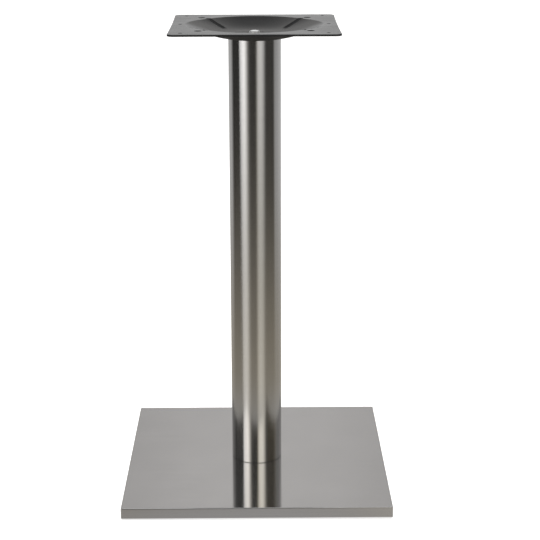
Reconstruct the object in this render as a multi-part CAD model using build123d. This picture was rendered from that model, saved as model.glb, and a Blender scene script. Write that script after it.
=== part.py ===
from build123d import *
import os
from math import atan2, cos, pi, sin, sqrt, tan

# Pedestal table leg: a square weighted base with a folded stainless cover, a round
# stainless column, and a pressed steel plate that the table top is screwed to.
# One long bolt runs down through the column and clamps the three together.
# Millimetres, +Z up, origin on the floor under the middle of the base.

# Overall
overall_height = 700.0      # floor to the seat of the table top
floor_gap = 3.0             # under the cover's edge, with the feet screwed right in

# Base cover, a folded tray that stands open side down
base_width = 400.0
base_edge = 16.0            # height of the folded edge
cover_sheet = 1.0
cover_bend = 0.5            # inside radius of the folds and of the welded corners

# Cast weight inside the cover
weight_thickness = 10.0
weight_gap = 1.0            # to the cover's walls, each side
weight_corner = 5.0
weight_chamfer = 1.5
pocket_diameter = 46.0      # round the lower nut, wide enough for a socket
pocket_depth = 6.0

# Column
column_diameter = 78.0
column_wall = 1.5
column_deburr = 0.4         # chamfer on the tube's outer ends
disc_thickness = 3.0        # end discs, welded flush inside the tube
disc_gap = 0.1              # weld gap all round

# Tie rod, a long bolt with its head in the dish, and its nut
rod_diameter = 8.0
rod_clearance = 0.5         # all round, in the holes that the rod passes through
rod_spare = 1.0             # thread that stands out of the nut
thread_gap = 0.05           # all round, between a thread and its nut or tapped hole
thread_chamfer = 0.8
head_flats = 13.0
head_height = 5.3
head_dome = 1.6             # fall of the domed top from its middle to its corners
nut_flats = 13.0
nut_height = 6.5
washer_diameter = 24.0
washer_thickness = 2.0

# Pressed top plate
plate_width = 245.0
plate_sheet = 3.0
plate_corner = 10.0
plate_draw_in = 1.2         # how far the pressing pulls in the middle of each side
plate_edge = 0.5            # chamfer on the sheared edges
dish_depth = 16.0
rim_flange = 20.5           # flat between the dish's rim and the edge, along X and Y
dish_floor_reach = 46.0     # to where the wall has run out into the flat floor
lobe_offset = 14.0          # centre of a rim arc from the middle of the plate
floor_offset = 3.0          # the same at the floor, which is almost round
ridge_radius = 5.0          # nose of the ridge on each diagonal
wall_power = 1.25           # 1 is a straight wall, more is a rounder bowl
wall_sections = 5
rim_radius = 4.0            # bend between the flange and the wall, on the face side
dart_radius = 5.5           # round groove pressed along each ridge to stiffen it
dart_depth = 2.2
dart_end = 0.47             # where it stops on the wall, 1 is the rim and 0 the floor
bolt_hole = 11.0
bolt_inset = 42.5           # hole centres from the plate's edges
screw_hole = 5.5
screw_inset = 18.5          # the same for the corner screws
side_screw_inset = 13.5     # the same for the screws at the left and right sides

# Levelling feet
foot_inset = 35.0           # from the base's edge to the foot's axis
foot_thread = 8.0
stud_tip_gap = 1.0          # above the stud, to the cover
stud_head_diameter = 13.0
stud_head_height = 2.5
stud_head_cover = 2.5       # plastic under the stud's head
pad_diameter = 30.0
pad_rim = 3.0               # height of the pad's straight side
pad_chamfer = 0.8
pad_hex_flats = 17.0
pad_hex_height = 3.5

# Levels, from the floor up
cover_bottom = floor_gap
cover_top = cover_bottom + base_edge
weight_top = cover_top - cover_sheet
weight_bottom = weight_top - weight_thickness
pocket_roof = weight_bottom + pocket_depth
plate_underside = overall_height - plate_sheet
dish_floor = overall_height - dish_depth
column_bottom = cover_top
column_top = dish_floor - plate_sheet

# Sizes shared by pieces that meet
rod_hole = rod_diameter + 2 * rod_clearance
dish_reach = plate_width / 2 - rim_flange
bolt_spacing = plate_width - 2 * bolt_inset
screw_spacing = plate_width - 2 * screw_inset
side_screw_spacing = plate_width - 2 * side_screw_inset
foot_place = base_width / 2 - foot_inset
feet = {
    "front_left": (-foot_place, -foot_place),
    "front_right": (foot_place, -foot_place),
    "rear_left": (-foot_place, foot_place),
    "rear_right": (foot_place, foot_place),
}


def rod_hole_through(low, high):
    """Cutter for the tie rod's hole between two levels."""
    return Pos(0, 0, low) * extrude(Circle(rod_hole / 2), high - low)


def round_bar(diameter, low, high):
    """Threaded bar at its outside diameter, with both ends chamfered."""
    bar = Pos(0, 0, low) * extrude(Circle(diameter / 2), high - low)
    return chamfer(bar.edges().filter_by(GeomType.CIRCLE), thread_chamfer)


def base_cover():
    """Folded sheet tray, with its four corners welded and ground round."""

    def block(width, height, radius):
        body = extrude(Rectangle(width, width), height)
        lower = body.faces().sort_by(Axis.Z)[0].edges()
        return fillet(body.edges() - lower, radius)

    outside = block(base_width, base_edge, cover_bend + cover_sheet)
    inside = block(base_width - 2 * cover_sheet, base_edge - cover_sheet, cover_bend)
    tray = Pos(0, 0, cover_bottom) * (outside - inside)
    return tray - rod_hole_through(weight_top, cover_top)


def base_weight():
    """Cast slab that fills the cover, with a pocket for the lower nut and tapped holes for the feet."""
    width = base_width - 2 * (cover_sheet + weight_gap)
    slab = extrude(RectangleRounded(width, width, weight_corner), weight_thickness)
    slab = chamfer(slab.faces().sort_by(Axis.Z)[0].edges(), weight_chamfer)
    pocket = extrude(Circle(pocket_diameter / 2), pocket_depth)
    tapped = extrude(Circle(foot_thread / 2 + thread_gap), weight_thickness)
    slab = slab - pocket - [Pos(*place) * tapped for place in feet.values()]
    return Pos(0, 0, weight_bottom) * slab - rod_hole_through(pocket_roof, weight_top)


def column_tube():
    """Round tube from the cover to the underside of the dish."""
    ring = Circle(column_diameter / 2) - Circle(column_diameter / 2 - column_wall)
    tube = Pos(0, 0, column_bottom) * extrude(ring, column_top - column_bottom)
    outer_ends = tube.edges().filter_by(GeomType.CIRCLE).group_by(SortBy.RADIUS)[-1]
    return chamfer(outer_ends, column_deburr)


def column_disc(low):
    """Steel disc that closes one end of the tube and centres it on the rod."""
    disc = Circle(column_diameter / 2 - column_wall - disc_gap) - Circle(rod_hole / 2)
    return Pos(0, 0, low) * extrude(disc, disc_thickness)


def washer(low):
    ring = Circle(washer_diameter / 2) - Circle(rod_hole / 2)
    return Pos(0, 0, low) * extrude(ring, washer_thickness)


def nut(low):
    """Hexagon nut, with its corners turned off at 30 degrees on both faces."""
    flat = nut_flats / 2
    corner = flat / cos(pi / 6)
    drop = (corner - flat) * tan(pi / 6)
    outline = Polyline(
        (0, 0),
        (flat, 0),
        (corner, drop),
        (corner, nut_height - drop),
        (flat, nut_height),
        (0, nut_height),
        close=True,
    )
    turned = revolve(Plane.XZ * make_face(outline), Axis.Z)
    hexagon = RegularPolygon(corner, 6) - Circle(rod_diameter / 2 + thread_gap)
    return Pos(0, 0, low) * (extrude(hexagon, nut_height) & turned)


def rod_head():
    """Hexagon head with a domed top, standing on its seat."""
    corner = head_flats / 2 / cos(pi / 6)
    sphere = (corner**2 + head_dome**2) / (2 * head_dome)
    dome = Pos(0, 0, head_height - sphere) * Sphere(sphere)
    return extrude(RegularPolygon(corner, 6), head_height) & dome


def tie_rod():
    """Long bolt from its head in the dish to below the nut in the pocket."""
    low = pocket_roof - washer_thickness - nut_height - rod_spare
    seat = dish_floor + washer_thickness
    shank = round_bar(rod_diameter, low, seat + head_height / 2)
    return shank + Pos(0, 0, seat) * rod_head()


def wall_section(share):
    """Reach, lobe offset and depth of one section of the dish's wall: 1 at the rim, 0 at the floor."""
    reach = dish_floor_reach + (dish_reach - dish_floor_reach) * share
    offset = floor_offset + (lobe_offset - floor_offset) * share
    return reach, offset, dish_depth * (1 - share**wall_power)


def nose_distance(reach, offset):
    """Centre of a ridge's nose from the middle of the plate, along the diagonal."""
    return offset / sqrt(2) + sqrt((reach - offset + ridge_radius) ** 2 - offset**2 / 2)


def dish_outline(reach, offset):
    """Closed outline of four lobes, joined on the diagonals by small arcs that bulge inwards."""
    lobe = reach - offset
    nose_centre = nose_distance(reach, offset)
    nose_place = nose_centre / sqrt(2)
    turn = atan2(nose_place, nose_place - offset)
    join_x = offset + lobe * cos(turn)
    join_y = lobe * sin(turn)
    nose = (nose_centre - ridge_radius) / sqrt(2)
    lobe_arc = ThreePointArc((join_x, -join_y), (reach, 0), (join_x, join_y))
    ridge_arc = ThreePointArc((join_x, join_y), (nose, nose), (join_y, join_x))
    arcs = []
    for quarter in range(4):
        arcs.append(lobe_arc.rotate(Axis.Z, 90 * quarter))
        arcs.append(ridge_arc.rotate(Axis.Z, 90 * quarter))
    return Wire(arcs)


def dish_bowl(rim_level):
    """Solid bowl below a level: lobed at the rim and almost round at the floor."""
    sections = []
    for step in range(wall_sections):
        reach, offset, depth = wall_section(1 - step / (wall_sections - 1))
        sections.append(Pos(0, 0, rim_level - depth) * dish_outline(reach, offset))
    return Solid.make_loft(sections)


def ridge_darts():
    """Cutters for the round grooves that run down the four ridges from the rim."""
    ends = []
    for share in (1, dart_end):
        reach, offset, depth = wall_section(share)
        ends.append(Vector(nose_distance(reach, offset) - ridge_radius, 0, overall_height - depth))
    run = ends[1] - ends[0]
    lift = Vector(0, 1, 0).cross(run).normalized() * (dart_radius - dart_depth)
    lead = run.normalized() * 2 * dart_radius
    start = ends[0] + lift - lead
    groove = Plane(start, z_dir=run) * extrude(Circle(dart_radius), (run + lead).length)
    groove = groove + Pos(*(start + lead + run)) * Sphere(dart_radius)
    return [Rot(0, 0, 45 + 90 * quarter) * groove for quarter in range(4)]


def plate_outline():
    """Square with rounded corners, its sides bowed in slightly by the pressing."""
    half = plate_width / 2
    side = ThreePointArc((-half, -half), (0, plate_draw_in - half), (half, -half))
    sides = [side.rotate(Axis.Z, 90 * quarter) for quarter in range(4)]
    blank = make_face(sides)
    return fillet(blank.vertices(), plate_corner)


def top_plate():
    """Pressed plate: flat flange with the screw holes, and a dish that bears on the column."""
    flange = Pos(0, 0, plate_underside) * extrude(plate_outline(), plate_sheet)
    flange = chamfer(flange.edges().filter_by(Plane.XY), plate_edge)
    plate = flange + dish_bowl(plate_underside) - dish_bowl(overall_height)
    rim = plate.edges().filter_by(GeomType.BSPLINE).group_by(Axis.Z)[-1]
    plate = fillet(rim, rim_radius) - ridge_darts()
    bolt = extrude(Circle(bolt_hole / 2), plate_sheet)
    screw = extrude(Circle(screw_hole / 2), plate_sheet)
    holes = [place * bolt for place in GridLocations(bolt_spacing, bolt_spacing, 2, 2)]
    holes += [place * screw for place in GridLocations(screw_spacing, screw_spacing, 2, 2)]
    holes += [place * screw for place in GridLocations(side_screw_spacing, 0, 2, 1)]
    holes = [Pos(0, 0, plate_underside) * hole for hole in holes]
    return plate - holes - rod_hole_through(column_top, dish_floor)


def foot_stud():
    """Threaded stud with a round head that the pad is moulded on."""
    head = Pos(0, 0, stud_head_cover) * extrude(Circle(stud_head_diameter / 2), stud_head_height)
    shank = round_bar(foot_thread, stud_head_cover, weight_top - stud_tip_gap)
    return head + shank


def foot_pad():
    """Moulded pad: round floor disc, sloping shoulder and a hexagon to turn it by."""
    hex_bottom = weight_bottom - pad_hex_height
    hex_corner = pad_hex_flats / 2 / cos(pi / 6)
    outline = Polyline(
        (0, 0),
        (pad_diameter / 2 - pad_chamfer, 0),
        (pad_diameter / 2, pad_chamfer),
        (pad_diameter / 2, pad_rim),
        (hex_corner, hex_bottom),
        (0, hex_bottom),
        close=True,
    )
    disc = revolve(Plane.XZ * make_face(outline), Axis.Z)
    hexagon = Pos(0, 0, hex_bottom) * extrude(RegularPolygon(hex_corner, 6), pad_hex_height)
    return disc + hexagon - foot_stud()


os.makedirs("parts", exist_ok=True)
pieces = {
    "base_cover": base_cover(),
    "base_weight": base_weight(),
    "column_tube": column_tube(),
    "column_lower_disc": column_disc(column_bottom),
    "column_upper_disc": column_disc(column_top - disc_thickness),
    "tie_rod": tie_rod(),
    "lower_washer": washer(pocket_roof - washer_thickness),
    "lower_nut": nut(pocket_roof - washer_thickness - nut_height),
    "top_washer": washer(dish_floor),
    "top_plate": top_plate(),
}
for corner, place in feet.items():
    pieces["foot_stud_" + corner] = Pos(*place) * foot_stud()
    pieces["foot_pad_" + corner] = Pos(*place) * foot_pad()
for name, shape in pieces.items():
    export_step(shape, f"parts/{name}.step")
    print(name, round(shape.volume), "mm3")
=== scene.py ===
import math
import bpy
from mathutils import Euler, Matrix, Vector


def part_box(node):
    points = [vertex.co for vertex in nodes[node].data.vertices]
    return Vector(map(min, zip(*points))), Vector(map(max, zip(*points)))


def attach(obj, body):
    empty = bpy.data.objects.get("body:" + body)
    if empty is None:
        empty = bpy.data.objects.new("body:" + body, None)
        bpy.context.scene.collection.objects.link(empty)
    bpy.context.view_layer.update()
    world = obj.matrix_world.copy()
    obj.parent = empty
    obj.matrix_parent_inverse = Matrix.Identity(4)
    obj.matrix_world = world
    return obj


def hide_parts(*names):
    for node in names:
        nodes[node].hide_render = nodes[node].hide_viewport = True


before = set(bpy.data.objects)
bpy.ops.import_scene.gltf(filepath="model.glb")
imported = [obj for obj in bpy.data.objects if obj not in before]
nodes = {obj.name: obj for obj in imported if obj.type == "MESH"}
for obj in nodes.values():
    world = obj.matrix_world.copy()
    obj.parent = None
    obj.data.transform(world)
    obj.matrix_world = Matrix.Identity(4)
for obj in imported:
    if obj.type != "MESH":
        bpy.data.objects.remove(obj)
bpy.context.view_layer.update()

corners = ["front_left", "front_right", "rear_left", "rear_right"]


# small helpers for shader trees

evenly = (1, 1, 1)                 # a pattern that isn't drawn out
noiseLow, noiseHigh = 0.3, 0.7     # nearly all of a noise pattern lies between these


def grey(level):
    return (level, level, level)


def startMaterial(name):
    material = bpy.data.materials.new(name)
    material.use_nodes = True
    tree = material.node_tree
    shader = tree.nodes["Principled BSDF"]
    return material, tree, shader


def addNode(tree, kind, **settings):
    node = tree.nodes.new(kind)
    for key, value in settings.items():
        setattr(node, key, value)
    return node


def partsOf(tree, output):
    # X, Y and Z of one output of Texture Coordinate
    place = addNode(tree, "ShaderNodeTexCoord")
    parts = addNode(tree, "ShaderNodeSeparateXYZ")
    tree.links.new(place.outputs[output], parts.inputs["Vector"])
    return parts.outputs


def objectPattern(tree, stretch, scale, detail, roughness=0.55):
    # noise on the piece's own coordinates, drawn out by the mapping scale
    place = addNode(tree, "ShaderNodeTexCoord")
    mapping = addNode(tree, "ShaderNodeMapping")
    mapping.inputs["Scale"].default_value = stretch
    noise = addNode(tree, "ShaderNodeTexNoise")
    noise.inputs["Scale"].default_value = scale
    noise.inputs["Detail"].default_value = detail
    noise.inputs["Roughness"].default_value = roughness
    tree.links.new(place.outputs["Object"], mapping.inputs["Vector"])
    tree.links.new(mapping.outputs["Vector"], noise.inputs["Vector"])
    return noise.outputs["Fac"]


def remap(tree, source, low, high, fromLow=noiseLow, fromHigh=noiseHigh):
    change = addNode(tree, "ShaderNodeMapRange")
    change.inputs["From Min"].default_value = fromLow
    change.inputs["From Max"].default_value = fromHigh
    change.inputs["To Min"].default_value = low
    change.inputs["To Max"].default_value = high
    tree.links.new(source, change.inputs["Value"])
    return change.outputs["Result"]


def combine(tree, operation, first, second):
    maths = addNode(tree, "ShaderNodeMath", operation=operation)
    for socket, value in zip(maths.inputs, (first, second)):
        if isinstance(value, (int, float)):
            socket.default_value = value
        else:
            tree.links.new(value, socket)
    return maths.outputs["Value"]


def withoutSign(tree, value):
    return combine(tree, "ABSOLUTE", value, 0.0)


def stopsAlong(tree, source, stopList):
    ramp = addNode(tree, "ShaderNodeValToRGB")
    stops = ramp.color_ramp.elements           # a new ramp has two
    for count, (spot, colour) in enumerate(stopList):
        stop = stops[count] if count < 2 else stops.new(spot)
        stop.position = spot
        stop.color = (*colour, 1)
    tree.links.new(source, ramp.inputs["Fac"])
    return ramp.outputs["Color"]


def colourBetween(tree, pattern, finish):
    return stopsAlong(tree, pattern, [(noiseLow, finish["dark"]), (noiseHigh, finish["light"])])


def scaled(tree, colour, factor):
    times = addNode(tree, "ShaderNodeVectorMath", operation="SCALE")
    tree.links.new(colour, times.inputs[0])
    tree.links.new(factor, times.inputs["Scale"])
    return times.outputs["Vector"]


def atLeast(tree, colour, level):
    larger = addNode(tree, "ShaderNodeVectorMath", operation="MAXIMUM")
    tree.links.new(colour, larger.inputs[0])
    tree.links.new(level, larger.inputs[1])
    return larger.outputs["Vector"]


def addBump(tree, shader, height, strength, depth):
    bump = addNode(tree, "ShaderNodeBump")
    bump.inputs["Strength"].default_value = strength
    bump.inputs["Distance"].default_value = depth
    tree.links.new(height, bump.inputs["Height"])
    tree.links.new(bump.outputs["Normal"], shader.inputs["Normal"])


def shadeBy(tree, shader, pattern, finish):
    # colour and gloss follow one pattern
    tree.links.new(colourBetween(tree, pattern, finish), shader.inputs["Base Color"])
    tree.links.new(remap(tree, pattern, *finish["roughness"]), shader.inputs["Roughness"])
    shader.inputs["Metallic"].default_value = finish["metal"]


# brushed stainless steel of the column and of the base cover

brushing = {
    "metal": 1.0,
    "anisotropy": 0.95,
    "lineDetail": 3.0,
    "lineBreak": 0.6,              # how much the fine lines break up
    "lineBump": 0.25,
    "lineDepth": 0.000001,
    "passDetail": 2.0,
    "smudgeScale": 14.0,
    "smudgeDetail": 3.0,
    "smudge": (-0.01, 0.012),      # what faint smudges add to the roughness
}

columnFinish = {
    **brushing,
    "dark": (0.583, 0.576, 0.569),
    "light": (0.652, 0.645, 0.638),
    "roughness": (0.130, 0.145),
    "lines": (5, 5, 3200),         # rings round the tube
    "passes": (2, 2, 420),         # wider rings where the belt went over it again
    "across": (0.02, 0, 1),        # the smear runs up and down
    "seam": (0.0190, 0.0201),      # painted shade: heights where the base colour is darkened, in the joint where the tube stands on the cover
    # how dark the painted shade in the joint makes the steel
    "seamShade": 0.10,
}

coverFinish = {
    **brushing,
    "dark": (0.600, 0.591, 0.590),
    "light": (0.644, 0.635, 0.634),
    "roughness": (0.145, 0.160),
    "lines": (5, 3200, 3200),      # straight lines from side to side
    "passes": (2, 420, 420),
    "across": (0, 1, 0.02),        # the smear runs from front to back
}


def brushedSteel(name, finish):
    material, tree, shader = startMaterial(name)
    lines = objectPattern(tree, finish["lines"], 1.0, finish["lineDetail"], finish["lineBreak"])
    passes = objectPattern(tree, finish["passes"], 1.0, finish["passDetail"])
    smudges = objectPattern(tree, evenly, finish["smudgeScale"], finish["smudgeDetail"])
    brushed = combine(tree, "MULTIPLY", combine(tree, "ADD", lines, passes), 0.5)      # half of each
    colour = colourBetween(tree, brushed, finish)
    # painted shade: the base colour is darkened in a narrow band at the foot of the tube, where shade falls
    # in the joint with the cover
    if "seam" in finish:
        height = partsOf(tree, "Object")["Z"]
        colour = scaled(tree, colour, remap(tree, height, finish["seamShade"], 1.0, *finish["seam"]))
    tree.links.new(colour, shader.inputs["Base Color"])
    grain = remap(tree, lines, *finish["roughness"])
    smudge = remap(tree, smudges, *finish["smudge"])
    tree.links.new(combine(tree, "ADD", grain, smudge), shader.inputs["Roughness"])
    shader.inputs["Metallic"].default_value = finish["metal"]
    shader.inputs["Anisotropic"].default_value = finish["anisotropy"]
    across = addNode(tree, "ShaderNodeCombineXYZ")
    for socket, value in zip(across.inputs, finish["across"]):
        socket.default_value = value
    tree.links.new(across.outputs["Vector"], shader.inputs["Tangent"])
    addBump(tree, shader, lines, finish["lineBump"], finish["lineDepth"])
    return material


# black paint on the pressed top plate

paintFinish = {
    "dark": (0.006, 0.006, 0.0065),
    "light": (0.010, 0.010, 0.0105),
    "roughness": (0.17, 0.23),
    "ior": 1.58,
    "cast": (0.975, 0.985, 1.0),   # faint blue in the shine
    "patchScale": 22.0,
    "patchDetail": 4.0,
    "peelScale": 420.0,            # orange peel of a sprayed coat
    "peelDetail": 2.0,
    "peelBump": 0.12,
    "peelDepth": 0.00003,
    "dull": 0.50,                  # what a thin coat adds to the roughness
    "steep": (0.45, 0.85),         # it is thin on faces that look less far up than this
    "grooveHalf": (0.0036, 0.0052),        # and in the four grooves, across and along them
    "grooveStart": (0.060, 0.067),
    "grooveEnd": (0.098, 0.104),
}


def grooveShare(tree, finish):
    # 1 in the grooves on the diagonals of the dish, 0 elsewhere
    parts = partsOf(tree, "Object")
    outX = withoutSign(tree, parts["X"])
    outY = withoutSign(tree, parts["Y"])
    diagonal = math.sqrt(0.5)
    aside = combine(tree, "MULTIPLY", withoutSign(tree, combine(tree, "SUBTRACT", outX, outY)), diagonal)
    along = combine(tree, "MULTIPLY", combine(tree, "ADD", outX, outY), diagonal)
    share = remap(tree, aside, 1.0, 0.0, *finish["grooveHalf"])
    share = combine(tree, "MULTIPLY", share, remap(tree, along, 0.0, 1.0, *finish["grooveStart"]))
    return combine(tree, "MULTIPLY", share, remap(tree, along, 1.0, 0.0, *finish["grooveEnd"]))


def blackPaint(finish):
    material, tree, shader = startMaterial("blackPaint")
    peel = objectPattern(tree, evenly, finish["peelScale"], finish["peelDetail"])
    patches = objectPattern(tree, evenly, finish["patchScale"], finish["patchDetail"])
    tree.links.new(colourBetween(tree, patches, finish), shader.inputs["Base Color"])
    inGroove = combine(tree, "MULTIPLY", grooveShare(tree, finish), finish["dull"])
    onSteep = remap(tree, partsOf(tree, "Normal")["Z"], finish["dull"], 0.0, *finish["steep"])
    rough = combine(tree, "ADD", remap(tree, patches, *finish["roughness"]), inGroove)
    tree.links.new(combine(tree, "ADD", rough, onSteep), shader.inputs["Roughness"])
    shader.inputs["Specular Tint"].default_value = (*finish["cast"], 1)
    shader.inputs["IOR"].default_value = finish["ior"]
    addBump(tree, shader, peel, finish["peelBump"], finish["peelDepth"])
    return material


# bright zinc on the bolt, its nut and washers, and the foot studs

zincFinish = {
    "dark": (0.78, 0.79, 0.80),
    "light": (0.91, 0.92, 0.93),
    "roughness": (0.28, 0.42),
    "metal": 0.6,                  # the rest is the pale bloom on the plating
    "spangle": 260.0,
    "detail": 3.0,
    "bump": 0.1,
    "depth": 0.00002,
}


def zincPlating(finish):
    material, tree, shader = startMaterial("zincPlating")
    spangle = objectPattern(tree, evenly, finish["spangle"], finish["detail"])
    shadeBy(tree, shader, spangle, finish)
    addBump(tree, shader, spangle, finish["bump"], finish["depth"])
    return material


# cut steel of the two discs inside the column

discFinish = {
    "dark": (0.33, 0.32, 0.31),
    "light": (0.46, 0.45, 0.44),
    "roughness": (0.35, 0.5),
    "metal": 1.0,
    "millScale": 60.0,
    "detail": 5.0,
    "bump": 0.15,
    "depth": 0.00005,
}


def cutSteel(finish):
    material, tree, shader = startMaterial("cutSteel")
    millScale = objectPattern(tree, evenly, finish["millScale"], finish["detail"])
    shadeBy(tree, shader, millScale, finish)
    addBump(tree, shader, millScale, finish["bump"], finish["depth"])
    return material


# cast iron of the weight under the cover

ironFinish = {
    "dark": (0.030, 0.029, 0.028),
    "light": (0.060, 0.057, 0.054),
    "roughness": (0.62, 0.8),
    "metal": 0.0,                  # under a dull skin from the mould
    "patches": 30.0,
    "patchDetail": 5.0,
    "sand": 900.0,
    "sandDetail": 3.0,
    "bump": 0.5,
    "depth": 0.0002,
}


def castIron(finish):
    material, tree, shader = startMaterial("castIron")
    patches = objectPattern(tree, evenly, finish["patches"], finish["patchDetail"])
    sand = objectPattern(tree, evenly, finish["sand"], finish["sandDetail"])
    shadeBy(tree, shader, patches, finish)
    addBump(tree, shader, sand, finish["bump"], finish["depth"])
    return material


# moulded plastic of the foot pads

padFinish = {
    "dark": grey(0.012),
    "light": grey(0.022),
    "roughness": (0.5, 0.62),
    "metal": 0.0,
    "spark": 2600.0,               # spark-eroded texture of the mould
    "detail": 2.0,
    "bump": 0.25,
    "depth": 0.00005,
}


def padPlastic(finish):
    material, tree, shader = startMaterial("padPlastic")
    spark = objectPattern(tree, evenly, finish["spark"], finish["detail"])
    shadeBy(tree, shader, spark, finish)
    addBump(tree, shader, spark, finish["bump"], finish["depth"])
    return material


columnSteel = brushedSteel("columnSteel", columnFinish)
coverSteel = brushedSteel("coverSteel", coverFinish)
platePaint = blackPaint(paintFinish)
zinc = zincPlating(zincFinish)
discSteel = cutSteel(discFinish)
weightIron = castIron(ironFinish)
footPlastic = padPlastic(padFinish)

finishes = {
    "base_cover": coverSteel,
    "column_tube": columnSteel,
    "top_plate": platePaint,
    "base_weight": weightIron,
    "column_lower_disc": discSteel,
    "column_upper_disc": discSteel,
    "tie_rod": zinc,
    "lower_washer": zinc,
    "lower_nut": zinc,
    "top_washer": zinc,
}
for corner in corners:
    finishes["foot_stud_" + corner] = zinc
    finishes["foot_pad_" + corner] = footPlastic

for name, material in finishes.items():
    for place in nodes[name].material_slots:
        place.material = material
print("finishes on", len(finishes), "pieces")


# small helpers for modelling

def nothingSelected():
    if bpy.context.object is not None and bpy.context.object.mode != "OBJECT":
        bpy.ops.object.mode_set(mode="OBJECT")
    bpy.ops.object.select_all(action="DESELECT")


def selectOnly(piece):
    nothingSelected()
    piece.select_set(True)
    bpy.context.view_layer.objects.active = piece


def removePiece(piece):
    selectOnly(piece)
    bpy.ops.object.delete()


def placeInMesh():
    bpy.ops.object.transform_apply(location=True, rotation=True, scale=True)


def mergeShapes(piece, other, operation):
    selectOnly(piece)
    merge = piece.modifiers.new("merge", "BOOLEAN")
    merge.operation = operation
    merge.object = other
    bpy.ops.object.modifier_apply(modifier="merge")
    removePiece(other)


smoothUnder = 28                   # degrees between faces


def meltTogether(piece, others):
    for other in others:
        mergeShapes(piece, other, "UNION")
    selectOnly(piece)
    bpy.ops.object.shade_smooth_by_angle(angle=math.radians(smoothUnder))


# screw threads, which the frame carries as plain cylinders

threadForm = {
    "flank": 0.375,                # shares of the pitch
    "flat": 0.125,
    "runIn": 1.5,                  # turns below the lower end, cut off later
    "spareTurns": 3,
    "taper": 0.8,                  # width that is left at a pointed end
    "mergeWithin": 1e-6,
    "cutWithin": 1e-8,
}


def threadedBar(name, bar, low, high, pointLow, pointHigh):
    # ridge profile wound up the bar, cut off at both levels, each end pointed by its own length
    nothingSelected()
    pitch, depth = bar["pitch"], bar["threadDepth"]
    bottom, top = low + pointLow, high - pointHigh
    start = (bar["radius"] - depth, 0, bottom - threadForm["runIn"] * pitch)
    bpy.ops.mesh.primitive_plane_add(size=pitch, location=start)
    piece = bpy.context.object
    piece.name = name
    placeInMesh()
    bpy.ops.object.mode_set(mode="EDIT")
    bpy.ops.mesh.select_all(action="SELECT")
    bpy.ops.mesh.merge(type="CENTER")          # one point at the root of the thread
    flank, flat = threadForm["flank"] * pitch, threadForm["flat"] * pitch
    for step in ((depth, 0, flank), (0, 0, flat), (-depth, 0, flank), (0, 0, flat)):
        bpy.ops.mesh.extrude_region_move(TRANSFORM_OT_translate={"value": step})
    bpy.ops.object.mode_set(mode="OBJECT")
    bpy.context.scene.cursor.location = (0, 0, 0)
    bpy.ops.object.origin_set(type="ORIGIN_CURSOR")
    screw = piece.modifiers.new("thread", "SCREW")
    screw.axis = "Z"
    screw.angle = 2 * math.pi
    screw.screw_offset = pitch
    screw.iterations = math.ceil((top - bottom) / pitch) + threadForm["spareTurns"]
    screw.steps = bar["segments"]
    screw.render_steps = bar["segments"]
    bpy.ops.object.modifier_apply(modifier="thread")
    bpy.ops.object.mode_set(mode="EDIT")
    bpy.ops.mesh.select_all(action="SELECT")
    bpy.ops.mesh.remove_doubles(threshold=threadForm["mergeWithin"])
    for level, way, point in ((top, 1, pointHigh), (bottom, -1, pointLow)):
        bpy.ops.mesh.select_all(action="SELECT")
        bpy.ops.mesh.bisect(
            plane_co=(0, 0, level), plane_no=(0, 0, way), use_fill=True, clear_outer=True,
            threshold=threadForm["cutWithin"])
        if point:
            bpy.ops.mesh.extrude_region_move(TRANSFORM_OT_translate={"value": (0, 0, way * point)})
            taper = (threadForm["taper"], threadForm["taper"], 1)
            bpy.ops.transform.resize(value=taper, center_override=(0, 0, level))
    bpy.ops.mesh.select_all(action="SELECT")
    bpy.ops.mesh.normals_make_consistent(inside=False)
    bpy.ops.object.mode_set(mode="OBJECT")
    return piece


barForm = {"sides": 48, "edgeSteps": 2, "edgeAngle": 60}


def roundBar(name, radius, low, high, edge):
    nothingSelected()
    bpy.ops.mesh.primitive_cylinder_add(
        vertices=barForm["sides"], radius=radius, depth=high - low, location=(0, 0, (low + high) / 2))
    piece = bpy.context.object
    piece.name = name
    placeInMesh()
    eased = piece.modifiers.new("edges", "BEVEL")
    eased.width = edge
    eased.segments = barForm["edgeSteps"]
    eased.angle_limit = math.radians(barForm["edgeAngle"])
    bpy.ops.object.modifier_apply(modifier="edges")
    return piece


# the long bolt through the column, with its domed head in the dish

screwThread = {
    "radius": 0.00393,             # over the crests
    "pitch": 0.00125,
    "threadDepth": 0.0006,
    "segments": 32,
    "point": 0.0008,               # pointed end of the bar
}

tieBoltPlan = {
    **screwThread,
    "threadLength": 0.030,
    "shank": 0.004,
    "edge": 0.0003,
    "headFlats": 0.013,
    "headHeight": 0.0053,
    "headDome": 0.0016,            # fall of the domed top to its corners
    "domeSegments": 96,
}


def boltHead(plan, seat):
    nothingSelected()
    height, fall = plan["headHeight"], plan["headDome"]
    halfSide = math.pi / 6                     # angle from a flat's middle to its corner
    corner = plan["headFlats"] / 2 / math.cos(halfSide)
    bpy.ops.mesh.primitive_cylinder_add(
        vertices=6, radius=corner, depth=height,
        location=(0, 0, seat + height / 2), rotation=(0, 0, halfSide))
    head = bpy.context.object
    head.name = "boltHead"
    placeInMesh()
    nothingSelected()
    ballRadius = (corner**2 + fall**2) / (2 * fall)
    bpy.ops.mesh.primitive_uv_sphere_add(
        segments=plan["domeSegments"], ring_count=plan["domeSegments"], radius=ballRadius,
        location=(0, 0, seat + height - ballRadius))
    ball = bpy.context.object
    placeInMesh()
    mergeShapes(head, ball, "INTERSECT")
    return head


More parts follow.
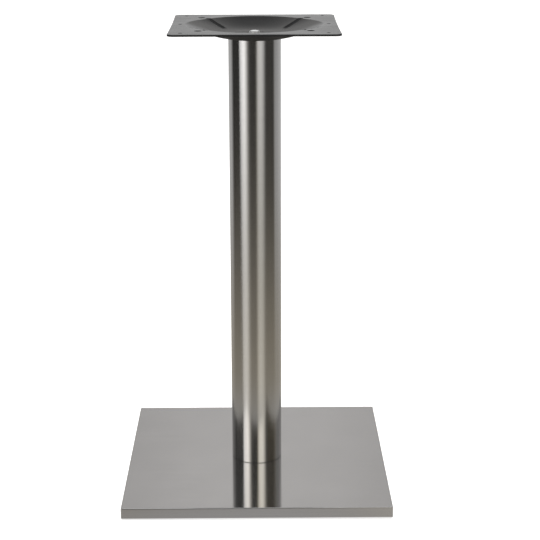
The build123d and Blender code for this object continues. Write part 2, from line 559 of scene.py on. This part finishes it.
def tieBolt(plan):
    low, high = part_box("tie_rod")
    seat = high.z - plan["headHeight"]
    threadTop = low.z + plan["threadLength"]
    shankLow, shankHigh = threadTop - plan["pitch"], seat + plan["headHeight"] / 2
    bolt = roundBar("tieBolt", plan["shank"], shankLow, shankHigh, plan["edge"])
    thread = threadedBar("boltThread", plan, low.z, threadTop, plan["point"], 0.0)
    meltTogether(bolt, [thread, boltHead(plan, seat)])
    bolt.data.materials.append(zinc)
    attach(bolt, "pedestal")
    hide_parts("tie_rod")
    print("tie bolt,", len(bolt.data.polygons), "faces")


# the threaded studs of the levelling feet

footStudPlan = {
    **screwThread,
    "headRadius": 0.0065,
    "headHeight": 0.0025,
    "edge": 0.0002,
}


def footStuds(plan):
    low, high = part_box("foot_stud_" + corners[0])
    thread = threadedBar("footThread", plan, low.z, high.z, 0.0, plan["point"])
    stud = roundBar("footStud", plan["headRadius"], low.z, low.z + plan["headHeight"], plan["edge"])
    meltTogether(stud, [thread])
    stud.data.materials.append(zinc)
    for corner in corners:
        low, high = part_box("foot_stud_" + corner)
        copy = stud.copy()
        copy.data = stud.data.copy()
        copy.name = "footStud." + corner
        bpy.context.scene.collection.objects.link(copy)
        selectOnly(copy)
        copy.location = ((low.x + high.x) / 2, (low.y + high.y) / 2, 0)
        placeInMesh()
        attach(copy, "foot_" + corner)
        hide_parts("foot_stud_" + corner)
    removePiece(stud)
    print("foot studs, four of", len(copy.data.polygons), "faces")


tieBolt(tieBoltPlan)
footStuds(footStudPlan)


# the room that the steel mirrors: degrees from the camera, minus to the left, and how bright it is there

neutral = (1, 0.985, 0.965)

backFade = [(0.18, 1.0), (0.26, 0.80), (0.33, 0.74), (0.37, 0.84), (0.40, 1.02), (0.45, 1.13)]

studioRoom = {
    "brightest": 2.4,
    "walls": [
        (-180, 0.68), (-177.5, 0.67), (-174, 0.565), (-160, 0.48),                     # behind, on the left
        (-145, 0.33), (-128, 0.21), (-118, 0.12), (-110, 0.03), (-73, 0.03),
        (-70, 1.60), (-51, 2.35), (-45.5, 1.95), (-38.5, 0.98), (-32.5, 0.28),         # left screen
        (-26.5, 0.07), (-19, 0.035), (3, 0.035),
        (8, 0.26), (12, 0.84), (16.5, 1.30), (24, 1.46), (33, 1.30), (39.5, 0.90),     # right screen
        (44.5, 0.42), (49.5, 0.13), (54.5, 0.06), (84, 0.05),
        (100, 0.25), (120, 0.30), (174, 0.57), (177.5, 0.68), (180, 0.68),             # behind, on the right
    ],
    "tint": [                      # the right side is warmer
        (-180, neutral), (-110, neutral), (-60, (1, 0.982, 0.945)), (-20, (1, 0.955, 0.86)),
        (0, (1, 0.92, 0.75)), (20, (1, 0.970, 0.87)), (45, (1, 0.950, 0.82)), (60, (1, 0.86, 0.62)),
        (88, (1, 0.90, 0.70)), (110, neutral), (180, neutral),
    ],
    "tintFrom": (0.16, 0.30),      # heights are given as sines
    "leanMost": 15.0,
    "leans": [                     # each screen leans by some degrees with its height
        ((-95, -5), [(0.12, 0.0), (0.30, 10.0), (0.345, 9.5), (0.385, 6.0)]),
        ((0, 60), [(0.12, 0.0), (0.30, -4.5), (0.345, -5.5), (0.385, -4.5)]),
    ],
    "fadeMost": 2.0,
    "fades": [                     # and is brighter or darker, as the walls behind are
        ((-95, -5), [(0.36, 1.0), (0.38, 0.94)]),
        ((0, 60), [(0.14, 0.80), (0.17, 0.90), (0.27, 0.88), (0.312, 1.10), (0.352, 1.26), (0.39, 1.40)]),
        ((-181, -110), backFade),
        ((110, 181), backFade),
    ],
    "front": (-110, 110),
    "haze": [                      # the gaps between the screens in front are lit a little at this height
        (0.364, 0.0), (0.370, 0.42), (0.383, 0.42), (0.391, 0.14), (0.40, 0.05), (0.42, 0.03), (0.45, 0.0),
    ],
    "wallTop": (0.45, 0.71),       # where the walls end and the ceiling starts
    "ceiling": [(0.74, 0.12), (0.86, 0.20), (0.95, 1.0)],
    "backdrop": 1.0,               # what the camera itself sees, plain white
}


def wayRound(tree, parts):
    # angle from the camera by the direction of X and Y, minus to the left
    front = combine(tree, "MULTIPLY", parts["Y"], -1.0)
    return combine(tree, "ARCTAN2", parts["X"], front)


def inSector(tree, way, sector):
    left, right = (math.radians(turn) for turn in sector)
    pastLeft = combine(tree, "GREATER_THAN", way, left)
    return combine(tree, "MULTIPLY", pastLeft, combine(tree, "LESS_THAN", way, right))


def coloursRound(tree, way, turns):
    share = remap(tree, way, 0.0, 1.0, -math.pi, math.pi)
    return stopsAlong(tree, share, [((turn + 180) / 360, colour) for turn, colour in turns])


def bandsRound(tree, way, bands, brightest):
    return coloursRound(tree, way, [(turn, grey(level / brightest)) for turn, level in bands])


def valueAlong(tree, source, stopList, low, high):
    greys = [(spot, grey((value - low) / (high - low))) for spot, value in stopList]
    return remap(tree, stopsAlong(tree, source, greys), low, high, 0.0, 1.0)


def mixColours(tree, share, first, second, blend="MIX"):
    mix = addNode(tree, "ShaderNodeMix", data_type="RGBA", blend_type=blend)
    tree.links.new(share, mix.inputs["Factor"])
    tree.links.new(first, mix.inputs["A"])
    tree.links.new(second, mix.inputs["B"])
    return mix.outputs["Result"]


def mixShaders(tree, share, first, second):
    mix = addNode(tree, "ShaderNodeMixShader")
    tree.links.new(share, mix.inputs["Fac"])
    tree.links.new(first, mix.inputs[1])
    tree.links.new(second, mix.inputs[2])
    return mix.outputs["Shader"]


def addShaders(tree, first, second):
    both = addNode(tree, "ShaderNodeAddShader")
    tree.links.new(first, both.inputs[0])
    tree.links.new(second, both.inputs[1])
    return both.outputs["Shader"]


def roomWalls(tree, room, way, height):
    most, brightest = room["leanMost"], room["brightest"]
    turned = way
    for sector, stopList in room["leans"]:
        lean = combine(tree, "MULTIPLY", valueAlong(tree, height, stopList, -most, most), math.radians(1))
        lean = combine(tree, "MULTIPLY", lean, inSector(tree, way, sector))
        turned = combine(tree, "SUBTRACT", turned, lean)
    bands = bandsRound(tree, turned, room["walls"], brightest)
    for sector, stopList in room["fades"]:
        change = combine(tree, "SUBTRACT", valueAlong(tree, height, stopList, 0.0, room["fadeMost"]), 1.0)
        change = combine(tree, "MULTIPLY", change, inSector(tree, way, sector))
        bands = scaled(tree, bands, combine(tree, "ADD", change, 1.0))
    haze = valueAlong(tree, height, [(sine, level / brightest) for sine, level in room["haze"]], 0.0, 1.0)
    bands = atLeast(tree, bands, combine(tree, "MULTIPLY", haze, inSector(tree, way, room["front"])))
    tint = coloursRound(tree, way, room["tint"])
    return mixColours(tree, remap(tree, height, 0.0, 1.0, *room["tintFrom"]), bands, tint, "MULTIPLY")


def buildRoom(room):
    world = bpy.data.worlds.new("studioRoom")
    bpy.context.scene.world = world
    world.use_nodes = True
    tree = world.node_tree
    tree.nodes.clear()
    out = addNode(tree, "ShaderNodeOutputWorld")
    path = addNode(tree, "ShaderNodeLightPath")
    parts = partsOf(tree, "Generated")
    height = parts["Z"]
    walls = roomWalls(tree, room, wayRound(tree, parts), height)
    ceilingStops = [(sine, grey(level / room["brightest"])) for sine, level in room["ceiling"]]
    ceiling = stopsAlong(tree, height, ceilingStops)
    whole = mixColours(tree, remap(tree, height, 0.0, 1.0, *room["wallTop"]), walls, ceiling)
    studio = addNode(tree, "ShaderNodeBackground")
    tree.links.new(whole, studio.inputs["Color"])
    studio.inputs["Strength"].default_value = room["brightest"]
    white = addNode(tree, "ShaderNodeBackground")
    white.inputs["Color"].default_value = (1, 1, 1, 1)
    white.inputs["Strength"].default_value = room["backdrop"]
    toCamera = path.outputs["Is Camera Ray"]
    around = mixShaders(tree, toCamera, studio.outputs["Background"], white.outputs["Background"])
    tree.links.new(around, out.inputs["Surface"])


# the floor, a glossy white sheet that shows the room in it

floorPlan = {
    "radius": 8.0,
    "sides": 96,
    "paper": (0.80, 0.79, 0.78),
    "glow": [(0.5, grey(0.72)), (1.3, grey(1.0))],     # what the camera sees even in full shade, by metres
    "lit": [                       # metres from the middle, and the light that comes off the sheet there
        (0.23, (0.395, 0.390, 0.382)), (0.42, (0.285, 0.258, 0.208)), (0.70, (0.240, 0.216, 0.172)),
        (1.15, (0.160, 0.146, 0.122)), (1.90, (0.062, 0.056, 0.048)), (3.2, (0.012, 0.012, 0.011)),
    ],
    "shine": [                     # and how much of the room it mirrors
        (0.25, grey(0.08)), (0.36, grey(0.26)), (1.2, grey(0.28)), (1.9, grey(0.38)), (3.2, grey(0.58)),
    ],
    "polish": 0.2,
    "behind": [                    # the sheet sweeps up behind, and is brighter there
        (-180, 0.30), (-145, 0.34), (-126, 0.38), (-117, 0.18), (-108, 0.0),
        (88, 0.0), (98, 0.22), (126, 0.33), (150, 0.32), (180, 0.30),
    ],
    "behindFrom": (0.3, 2.0),
}


def floorSheet(plan):
    material = bpy.data.materials.new("floorSheet")
    material.use_nodes = True
    tree = material.node_tree
    tree.nodes.clear()
    out = addNode(tree, "ShaderNodeOutputMaterial")
    path = addNode(tree, "ShaderNodeLightPath")
    place = addNode(tree, "ShaderNodeTexCoord")
    length = addNode(tree, "ShaderNodeVectorMath", operation="LENGTH")
    tree.links.new(place.outputs["Object"], length.inputs[0])
    distance = length.outputs["Value"]
    share = combine(tree, "DIVIDE", distance, plan["radius"])

    def byDistance(stopList):
        return stopsAlong(tree, share, [(metres / plan["radius"], colour) for metres, colour in stopList])

    paper = addNode(tree, "ShaderNodeBsdfDiffuse")
    paper.inputs["Color"].default_value = (*plan["paper"], 1)
    glow = addNode(tree, "ShaderNodeEmission")
    tree.links.new(byDistance(plan["glow"]), glow.inputs["Color"])
    lit = addNode(tree, "ShaderNodeEmission")
    tree.links.new(byDistance(plan["lit"]), lit.inputs["Color"])
    sweep = addNode(tree, "ShaderNodeEmission")
    way = wayRound(tree, partsOf(tree, "Object"))
    tree.links.new(bandsRound(tree, way, plan["behind"], 1.0), sweep.inputs["Color"])
    tree.links.new(remap(tree, distance, 0.0, 1.0, *plan["behindFrom"]), sweep.inputs["Strength"])
    mirror = addNode(tree, "ShaderNodeBsdfGlossy")
    mirror.inputs["Roughness"].default_value = plan["polish"]
    tree.links.new(byDistance(plan["shine"]), mirror.inputs["Color"])
    lightOff = addShaders(tree, lit.outputs["Emission"], sweep.outputs["Emission"])
    inMetal = addShaders(tree, lightOff, mirror.outputs["BSDF"])
    unseen = mixShaders(tree, path.outputs["Is Glossy Ray"], paper.outputs["BSDF"], inMetal)
    seen = addShaders(tree, paper.outputs["BSDF"], glow.outputs["Emission"])
    tree.links.new(mixShaders(tree, path.outputs["Is Camera Ray"], unseen, seen), out.inputs["Surface"])
    return material


def studioFloor(plan):
    nothingSelected()
    bpy.ops.mesh.primitive_circle_add(
        vertices=plan["sides"], radius=plan["radius"], fill_type="NGON", location=(0, 0, 0))
    floor = bpy.context.object
    floor.name = "studioFloor"
    floor.data.materials.append(floorSheet(plan))


overhead = {"size": 2.4, "height": 2.6, "watts": 60.0}


def hangLamp(lamp):
    light = bpy.data.lights.new("overheadSoft", "AREA")
    light.size = lamp["size"]
    light.energy = lamp["watts"]
    hung = bpy.data.objects.new("overheadSoft", light)
    hung.location = (0, 0, lamp["height"])
    hung.visible_glossy = False
    bpy.context.scene.collection.objects.link(hung)


studioFloor(floorPlan)
buildRoom(studioRoom)
hangLamp(overhead)
print("floor, room and lamp set")


cameraPlace = {
    "spot": (0.00389, -2.17615, 0.96187),
    "lens": 98.276,
    "sensor": 36.0,
    "sightEnd": 50.0,
    "down": 16.34,                 # degrees
    "turned": 0.47,                # to the right
    "roll": -0.16,
}


def placeCamera(plan):
    lens = bpy.data.cameras.new("photoCamera")
    lens.sensor_width = plan["sensor"]
    lens.lens = plan["lens"]
    lens.clip_end = plan["sightEnd"]
    camera = bpy.data.objects.new("photoCamera", lens)
    camera.location = plan["spot"]
    turn = Euler((math.radians(90 - plan["down"]), 0, math.radians(-plan["turned"])), "XYZ")
    turn.rotate_axis("Z", math.radians(plan["roll"]))
    camera.rotation_euler = turn
    bpy.context.scene.collection.objects.link(camera)
    bpy.context.scene.camera = camera


placeCamera(cameraPlace)
bpy.context.scene.view_settings.view_transform = "Standard"
